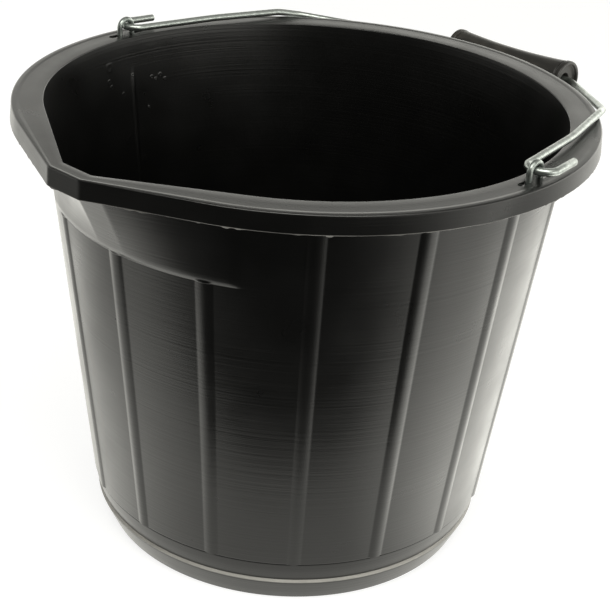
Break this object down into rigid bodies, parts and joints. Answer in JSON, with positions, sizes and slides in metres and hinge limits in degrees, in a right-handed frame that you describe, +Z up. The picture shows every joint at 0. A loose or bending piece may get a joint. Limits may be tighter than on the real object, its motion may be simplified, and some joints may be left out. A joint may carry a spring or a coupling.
{
  "type": "florist bucket",
  "caption": "Round tapered flower bucket with ribbed wall, pouring spout, flanged rim, wire bail on staple eyelets and a loose hand grip.",
  "frame": {"origin": "middle of the whole object's footprint on the ground, under the foot ring", "axes": "+Z up, X along the bail's hinge axis, -Y the way the spout points, +Y where the bail lies at rest"},
  "size_m": [0.3268, 0.3633, 0.2702],
  "materials": {
    "shell_black": "satin moulded black polypropylene",
    "eyelet_zinc": "galvanised steel wire",
    "bail_zinc": "bright galvanised steel wire",
    "grip_black": "satin black moulded plastic"
  },
  "bodies": {
    "bucket": {"bucket_shell": "shell_black", "eyelet_right": "eyelet_zinc", "eyelet_left": "eyelet_zinc"},
    "bail": {"bail_wire": "bail_zinc"},
    "grip": {"hand_grip": "grip_black"}
  },
  "joints": [
    {"name": "bail_swing", "type": "hinge", "parent": "bucket", "child": "bail", "pos_m": [0, -0.0076, 0.2643], "axis": [1, 0, 0], "range_deg": [0, 181]},
    {"name": "grip_spin", "type": "hinge", "parent": "bail", "child": "grip", "pos_m": [0.013, 0.16914, 0.24796], "axis": [1, 0, 0], "continuous": true}
  ]
}
